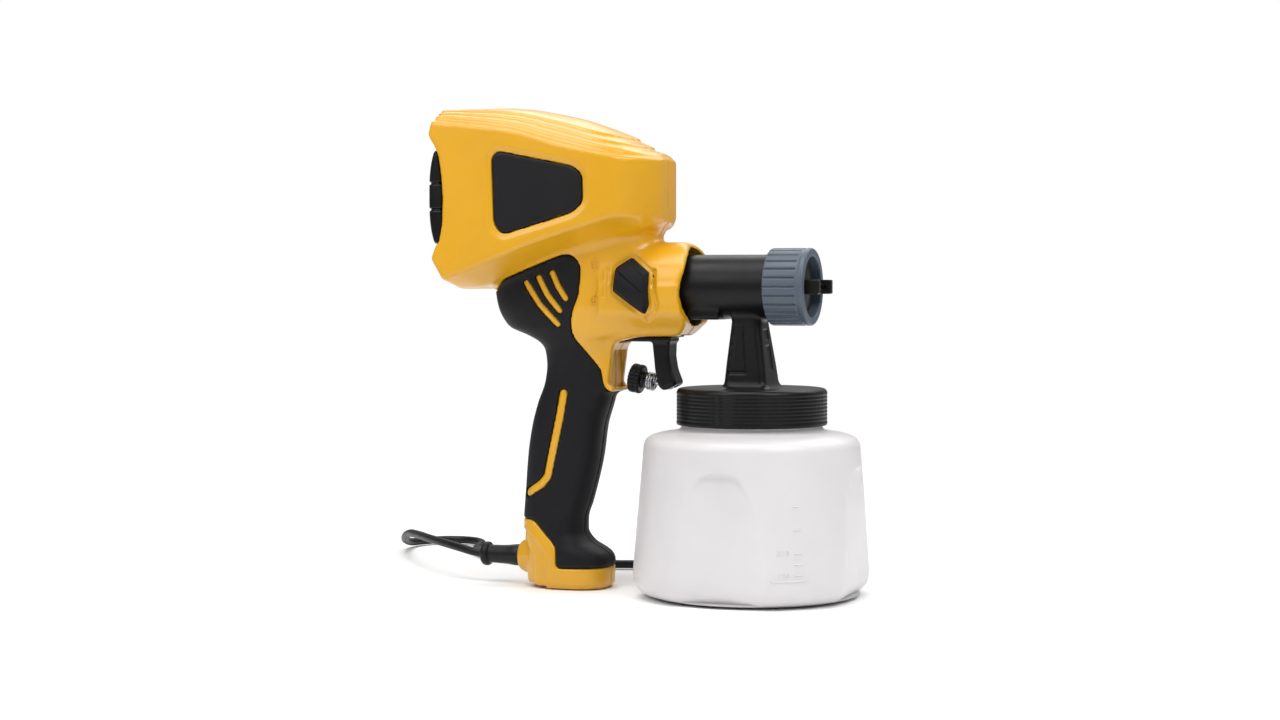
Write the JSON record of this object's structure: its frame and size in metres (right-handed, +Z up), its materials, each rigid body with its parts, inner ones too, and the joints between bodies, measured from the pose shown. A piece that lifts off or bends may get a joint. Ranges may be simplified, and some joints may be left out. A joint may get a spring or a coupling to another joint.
{
  "type": "paint sprayer",
  "caption": "Hand-held electric turbine paint sprayer: pistol-grip motor housing with rear intake, spray head with air cap and locking ring, and a translucent cup below.",
  "frame": {"origin": "centre of the bottom of the sprayer's own box, on the table it stands on", "axes": "+X along the spray, +Z up, Y across the split plane of the housing"},
  "size_m": [0.3184, 0.2113, 0.2556],
  "materials": {
    "yellow_shell": "fine matt texture, moulded",
    "grip_rubber": "soft matt rubber",
    "badge_plastic": "matt, left blank",
    "black_plastic": "satin, moulded",
    "ring_plastic": "satin",
    "cup_plastic": "milky translucent polyethylene",
    "white_plastic": "plain moulded",
    "foam": "open-cell foam",
    "steel": "turned or drawn",
    "laminations": "stacked sheets",
    "copper": "enamelled wire or copper bars",
    "brass": "plain",
    "cord_rubber": "smooth"
  },
  "bodies": {
    "root": {"right_housing_shell": "yellow_shell", "left_housing_shell": "yellow_shell", "right_grip_overmould": "grip_rubber", "left_grip_overmould": "grip_rubber", "motor_damper_ring": "grip_rubber", "right_badge": "badge_plastic", "left_badge": "badge_plastic", "turbine_housing": "black_plastic", "air_duct": "black_plastic", "trigger_switch": "black_plastic", "cord_clamp": "black_plastic", "spray_head": "black_plastic", "front_motor_bracket": "black_plastic", "needle_packing": "white_plastic", "housing_screw_1": "steel", "housing_screw_2": "steel", "housing_screw_3": "steel", "housing_screw_4": "steel", "housing_screw_5": "steel", "housing_screw_6": "steel", "housing_screw_7": "steel", "housing_screw_8": "steel", "front_bearing": "steel", "rear_bearing": "steel", "fluid_nozzle": "steel", "needle_spring": "steel", "trigger_pin": "steel", "trigger_return_spring": "steel", "stator_core": "laminations", "field_winding_upper": "copper", "field_winding_lower": "copper", "right_brush_holder": "brass", "left_brush_holder": "brass", "plug_pin_1": "brass", "plug_pin_2": "brass", "strain_relief": "cord_rubber", "cord_run": "cord_rubber", "cord_coil": "cord_rubber", "cord_tail": "cord_rubber", "mains_plug": "cord_rubber", "cup_gasket": "cord_rubber"},
    "armature": {"armature_shaft": "steel", "rotor_core": "laminations", "commutator": "copper", "fan_wheel": "white_plastic"},
    "trigger": {"trigger": "black_plastic", "flow_spring": "steel"},
    "flow_knob": {"flow_knob": "black_plastic", "flow_screw": "steel"},
    "needle": {"needle": "steel"},
    "switch_plunger": {"switch_plunger": "white_plastic"},
    "lock": {"lock_button": "grip_rubber", "lock_slide": "white_plastic"},
    "locking_ring": {"locking_ring": "ring_plastic"},
    "air_cap": {"air_cap": "black_plastic"},
    "cup": {"cup": "cup_plastic"},
    "suction_tube": {"suction_tube": "white_plastic"},
    "rear_cover": {"rear_intake_cover": "black_plastic", "intake_filter": "foam"}
  },
  "joints": [
    {"name": "armature_spin", "type": "hinge", "parent": "root", "child": "armature", "pos_m": [-0.05515, 0, 0.212], "axis": [1, 0, 0], "continuous": true},
    {"name": "trigger_pull", "type": "hinge", "parent": "root", "child": "trigger", "pos_m": [0.01485, 0, 0.179], "axis": [0, 1, 0], "range_deg": [0, 4.2], "stiffness_Nm_per_rad": 4, "springref_deg": -6.88, "deforming": ["trigger_return_spring"]},
    {"name": "flow_knob_turn", "type": "hinge", "parent": "trigger", "child": "flow_knob", "pos_m": [-0.00975, 0, 0.1124], "axis": [0.9848, 0, -0.1736], "continuous": true},
    {"name": "needle_travel", "type": "slide", "parent": "root", "child": "needle", "axis": [-1, 0, 0], "range_m": [-0.0002, 0.0016]},
    {"name": "switch_travel", "type": "slide", "parent": "root", "child": "switch_plunger", "axis": [-1, 0, 0], "range_m": [-0.0002, 0.0036]},
    {"name": "lock_turn", "type": "hinge", "parent": "root", "child": "lock", "pos_m": [-0.00515, 0, 0.1605], "axis": [1, 0, 0], "range_deg": [0, 18]},
    {"name": "locking_ring_turn", "type": "hinge", "parent": "root", "child": "locking_ring", "pos_m": [0.07985, 0, 0.1605], "axis": [1, 0, 0], "continuous": true},
    {"name": "air_cap_turn", "type": "hinge", "parent": "root", "child": "air_cap", "pos_m": [0.08285, 0, 0.1605], "axis": [1, 0, 0], "range_deg": [0, 90]},
    {"name": "cup_unscrew", "type": "hinge", "parent": "root", "child": "cup", "pos_m": [0.05705, 0, 0.05], "axis": [0, 0, 1], "continuous": true},
    {"name": "suction_tube_turn", "type": "hinge", "parent": "root", "child": "suction_tube", "pos_m": [0.05705, 0, 0.09], "axis": [0, 0, 1], "continuous": true},
    {"name": "rear_cover_release", "type": "slide", "parent": "root", "child": "rear_cover", "axis": [-1, 0, 0], "range_m": [0, 0.025]}
  ],
  "couplings": [
    {"joint": "needle_travel", "follows": "trigger_pull", "m_per_rad": 0.0185},
    {"joint": "switch_travel", "follows": "trigger_pull", "m_per_rad": 0.044}
  ]
}
